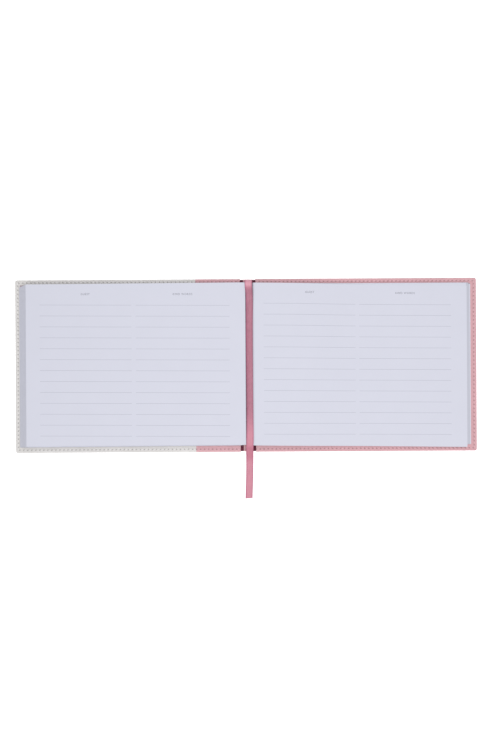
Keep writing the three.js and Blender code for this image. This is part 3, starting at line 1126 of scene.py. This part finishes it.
class GUESTBOOK_OT_right_pages(bpy.types.Operator):
    """The three sections on the right, with the leaves of the top one lifted beside the gutter"""

    bl_idname = "guestbook.right_pages"
    bl_label = "Right pages"

    def execute(self, context):
        size, colour = sizes(), colours()
        plain = plain_paper("Right page paper", tuple(colour.page))
        # Painted shade over the fanned page edges beyond 226 mm from the spine.
        fan_shaded = plain_paper("Page paper with painted fan shade", tuple(colour.page), 226.0, 0.15)
        rise = RIGHT_LINE_RISE + RIGHT_SKEW
        print_colours = tuple(colour.page), tuple(colour.ink)
        ruled = ruled_paper("Ruled right page", *print_colours, RIGHT_COLUMNS, RIGHT_FIRST_LINE, rise)
        for node, slope, paper in (("section_11", 0.7, fan_shaded), ("section_12", 0.3, plain)):
            section = folded_section(node, 1, slope, 40 + round(slope * 10))
            finish_piece(section, node, "page_paper", paper, node)
        node = "section_10"
        edge = box_mm(node)[1].x
        fold = folded_section(node, 1, 0.0, 60, stub=0.6)
        finish_piece(fold, node, "page_paper", plain, node)
        chance = random.Random(12)
        root = right_leaf_root()
        for m in range(size.leaves):
            level = right_leaf_level(m)
            share = (m + 1) / size.leaves
            lift = size.arch_height * share**1.15
            last = edge + 0.3 - 2.2 * share + chance.uniform(-0.1, 0.1)
            across = [root + size.arch_curl * t for t in CURL_STEPS]
            across += spaced(root + size.arch_curl + 2.0, 30.0, 10)
            across += spaced(33.0, last, 40)
            line = [(x, level + lift * arch_share(x, root)) for x in across]
            top = m == size.leaves - 1
            skew = RIGHT_SKEW * share**4
            tail = PAGE_TAIL - RIGHT_DROP
            leaf = sheet_strip(
                f"right_leaf_{m + 1}", line, size.leaf, tail, PAGE_HEAD, 8, skew=skew
            )
            finish_piece(leaf, node, "page_paper", ruled if top else fan_shaded)
            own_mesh(leaf)
        return {"FINISHED"}


# ---------------------------------------------------------------------------
# Headings
# ---------------------------------------------------------------------------


def heading(name, words, x, y, tilt, surface_z, lift):
    """Small capitals that lie on the page and follow its height."""
    text = bpy.data.curves.new(name, "FONT")
    text.body = words
    text.size = sizes().heading_size
    text.align_x = "CENTER"
    text.align_y = "CENTER"
    text.space_character = 1.12
    text.resolution_u = 3
    text.extrude = 0.004
    lettering = bpy.data.objects.new(name, text)
    bpy.context.scene.collection.objects.link(lettering)
    graph = bpy.context.evaluated_depsgraph_get()
    mesh = bpy.data.meshes.new_from_object(lettering.evaluated_get(graph))
    bpy.data.objects.remove(lettering)
    cos, sin = math.cos(tilt), math.sin(tilt)
    for vertex in mesh.vertices:
        px, py, pz = vertex.co
        wx, wy = x + px * cos - py * sin, y + px * sin + py * cos
        vertex.co = Vector((wx, wy, surface_z(wx) + lift + pz)) * MM
    mesh.name = name
    made = bpy.data.objects.new(name, mesh)
    bpy.context.scene.collection.objects.link(made)
    return made


class GUESTBOOK_OT_headings(bpy.types.Operator):
    """Plain column headings at the top of both pages"""

    bl_idname = "guestbook.headings"
    bl_label = "Column headings"

    def execute(self, context):
        size, colour = sizes(), colours()
        ink = printed_ink("Heading ink", tuple(c * 0.62 for c in colour.ink))
        page_z = (LEAF_LOW.z + LEAF_HIGH.z) / 2 + size.leaf / 2
        for name, words, x, y in (
            ("left_heading_guest", "GUEST", -162.5, 72.4),
            ("left_heading_words", "KIND WORDS", -63.9, 71.9),
        ):
            sign = heading(name, words, x, y, -0.0066, lambda wx: page_z, 0.012)
            finish_piece(sign, "turning_leaf", "page_paper", ink)
        level = right_leaf_level(size.leaves - 1)
        root = right_leaf_root()

        def arched(wx):
            return level + size.arch_height * arch_share(wx, root) + size.leaf / 2

        for name, words, x, y in (
            ("right_heading_guest", "GUEST", 65.1, 73.6),
            ("right_heading_words", "KIND WORDS", 163.2, 72.8),
        ):
            sign = heading(name, words, x, y, -0.0079, arched, 0.012)
            finish_piece(sign, "section_10", "page_paper", ink)
            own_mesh(sign)
        return {"FINISHED"}


# ---------------------------------------------------------------------------
# Ribbon
# ---------------------------------------------------------------------------

# Points along the ribbon's middle, in millimetres: glued under the folds, over the
# head of the pages, down the gutter and out past the tail.
RIBBON_ROUTE = (
    (4.2, 66, 2.32),
    (4.2, 74, 2.32),
    (4.2, 80, 2.34),
    (4.1, 84.5, 2.95),
    (3.8, 86.2, 5),
    (3.4, 86.8, 8),
    (3, 86.5, 11),
    (2.8, 85, 13.2),
    (2.8, 80.5, 13.75),
    (3.5, 73, 13.5),
    (3.7, 63, 12.3),
    (3.65, 50, 11.35),
    (3.5, 34, 11),
    (3.6, 14, 10.9),
    (3.8, -8, 10.9),
    (3.9, -32, 11),
    (3.9, -54, 11.3),
    (3.8, -68, 11.5),
    (3.6, -77, 11.4),
    (3.5, -83.5, 10),
    (3.4, -88.5, 6.8),
    (3.4, -93.5, 3.1),
    (3.4, -99, 1),
    (3.3, -107, 0.35),
    (3.1, -117, 0.25),
    (2.7, -128, 0.25),
    (2.4, -137.4, 0.25),
)

# How much shorter the ribbon is at one corner of its cut end than at the other, in millimetres.
CUT_SLANT = 0.45


def smooth_route(points, steps):
    """A smooth curve through points, with so many steps between neighbours."""
    route = []
    knots = [points[0], *points, points[-1]]
    for i in range(1, len(knots) - 2):
        a, b, c, d = (Vector(p) for p in knots[i - 1 : i + 3])
        for k in range(steps):
            t = k / steps
            near = 2 * b + (c - a) * t
            far = (2 * a - 5 * b + 4 * c - d) * t**2 + (3 * b - a - 3 * c + d) * t**3
            route.append((near + far) / 2)
    route.append(Vector(points[-1]))
    return route


class GUESTBOOK_OT_ribbon(bpy.types.Operator):
    """Satin ribbon marker, glued at the head, lying down the gutter and out past the tail"""

    bl_idname = "guestbook.ribbon"
    bl_label = "Ribbon marker"

    def execute(self, context):
        size = sizes()
        route = smooth_route(RIBBON_ROUTE, 8)
        half, thick = size.ribbon_width / 2, size.ribbon_thickness / 2
        steps = 12
        points, places, along = [], [], 0.0
        for i, place in enumerate(route):
            ahead = route[min(i + 1, len(route) - 1)]
            behind = route[max(i - 1, 0)]
            tangent = (ahead - behind).normalized()
            across = Vector((1, 0, 0))
            normal = across.cross(tangent).normalized()
            if i:
                along += (place - route[i - 1]).length
            in_gutter = math.exp(-((place.y / 70) ** 8))
            cut = CUT_SLANT * max(0.0, 1 - (len(route) - 1 - i) / 4)
            ring, ring_places = [], []
            for sign in (1, -1):
                order = range(steps + 1) if sign > 0 else reversed(range(steps + 1))
                for k in order:
                    share = -1 + 2 * k / steps
                    bow = -0.3 * in_gutter * (1 - share**2)
                    ripple = 0.05 * math.sin(along / 5.3 + share * 1.2) * (0.3 + 0.7 * in_gutter)
                    edge = thick * (1.0 if abs(share) < 0.85 else 1.25)
                    p = place + across * half * share + normal * (sign * edge + bow + ripple)
                    p = p - tangent * cut * (share + 1) / 2
                    p.z = max(p.z, 0.02)
                    ring.append(tuple(p))
                    ring_places.append((half * share, along))
            points += ring
            places += ring_places
        columns = 2 * (steps + 1)
        faces = grid_faces(len(route), columns, wrap_columns=True)
        for end in (0, (len(route) - 1) * columns):
            for i in range(steps):
                faces.append((end + i, end + i + 1, end + columns - 2 - i, end + columns - 1 - i))
        ribbon = sharpen(outward(add_mesh("ribbon", points, faces, sheet=places)), 60)
        material = satin("Satin ribbon", tuple(colours().ribbon))
        finish_piece(ribbon, "spine", "satin_ribbon", material, "ribbon_marker")
        path = [p * MM for p in route]
        length = sum((b - a).length for a, b in zip(path, path[1:]))
        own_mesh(ribbon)
        return {"FINISHED"}


# ---------------------------------------------------------------------------
# Stage
# ---------------------------------------------------------------------------


def area_light(name, place, aim, size, power):
    """A soft square light."""
    lamp = bpy.data.lights.new(name, "AREA")
    lamp.shape = "SQUARE"
    lamp.size = size
    lamp.energy = power
    light = bpy.data.objects.new(name, lamp)
    light.location = place
    light.rotation_euler = (Vector(aim) - Vector(place)).to_track_quat("-Z", "Y").to_euler()
    bpy.context.scene.collection.objects.link(light)


class GUESTBOOK_OT_stage(bpy.types.Operator):
    """Camera, pale floor, soft lights and world"""

    bl_idname = "guestbook.stage"
    bl_label = "Stage"

    def execute(self, context):
        scene = bpy.context.scene
        camera = bpy.data.cameras.new("Camera")
        camera.sensor_width = 36
        camera.lens = 30.8
        camera.shift_y = 0.043
        viewer = bpy.data.objects.new("Camera", camera)
        viewer.location = (-0.0012, -0.0347, 0.65)
        viewer.rotation_euler = (0, 0, math.radians(-0.33))
        scene.collection.objects.link(viewer)
        scene.camera = viewer

        floor = add_mesh(
            "floor",
            [(-3000, -3000, -0.3), (3000, -3000, -0.3), (3000, 3000, -0.3), (-3000, 3000, -0.3)],
            [(0, 1, 2, 3)],
        )
        table = Surface("Pale table")
        grain = table.noise(400.0, 2.0)
        table.finish(
            Base_Color=table.shade(tuple(colours().floor), 0.98 + grain * 0.03),
            Roughness=0.9,
            Emission_Color=(1, 1, 1),
            Emission_Strength=0.35,
        )
        floor.data.materials.append(table.material)

        area_light("Key light", (-0.02, -0.56, 1.45), (0, 0, 0), 1.1, 14.5)
        area_light("Fill light", (0.16, 0.24, 1.2), (0, 0.02, 0), 0.6, 5.5)
        world = bpy.data.worlds.new("World")
        world.use_nodes = True
        background = world.node_tree.nodes["Background"]
        background.inputs["Color"].default_value = (0.97, 0.98, 1.0, 1)
        background.inputs["Strength"].default_value = 0.42
        scene.world = world
        scene.view_settings.view_transform = "Standard"
        return {"FINISHED"}


# ---------------------------------------------------------------------------
# Panel and registration
# ---------------------------------------------------------------------------

OPERATORS = (
    GUESTBOOK_OT_stage,
    GUESTBOOK_OT_ribbon,
    GUESTBOOK_OT_covers,
    GUESTBOOK_OT_spine,
    GUESTBOOK_OT_stitching,
    GUESTBOOK_OT_boards,
    GUESTBOOK_OT_left_pages,
    GUESTBOOK_OT_right_pages,
    GUESTBOOK_OT_headings,
)


class GUESTBOOK_PT_panel(bpy.types.Panel):
    """Lists the steps that build the guest book"""

    bl_idname = "GUESTBOOK_PT_panel"
    bl_label = "Guest Book"
    bl_space_type = "VIEW_3D"
    bl_region_type = "UI"
    bl_category = "Guest Book"

    def draw(self, context):
        for step in OPERATORS:
            self.layout.operator(step.bl_idname)
        for settings in (sizes(), colours()):
            for key in settings.bl_rna.properties.keys()[2:]:
                self.layout.prop(settings, key)


CLASSES = (GuestBookSizes, GuestBookColours, *OPERATORS, GUESTBOOK_PT_panel)


def register():
    """Registers the classes and their settings."""
    for cls in CLASSES:
        bpy.utils.register_class(cls)
    bpy.types.Scene.guest_book_sizes = PointerProperty(type=GuestBookSizes)
    bpy.types.Scene.guest_book_colours = PointerProperty(type=GuestBookColours)


def unregister():
    """Removes the settings and classes."""
    del bpy.types.Scene.guest_book_colours
    del bpy.types.Scene.guest_book_sizes
    for cls in reversed(CLASSES):
        bpy.utils.unregister_class(cls)


def main():
    """Builds every piece in order."""
    register()
    for step in OPERATORS:
        group, name = step.bl_idname.split(".")
        getattr(getattr(bpy.ops, group), name)()


if __name__ == "__main__":
    main()
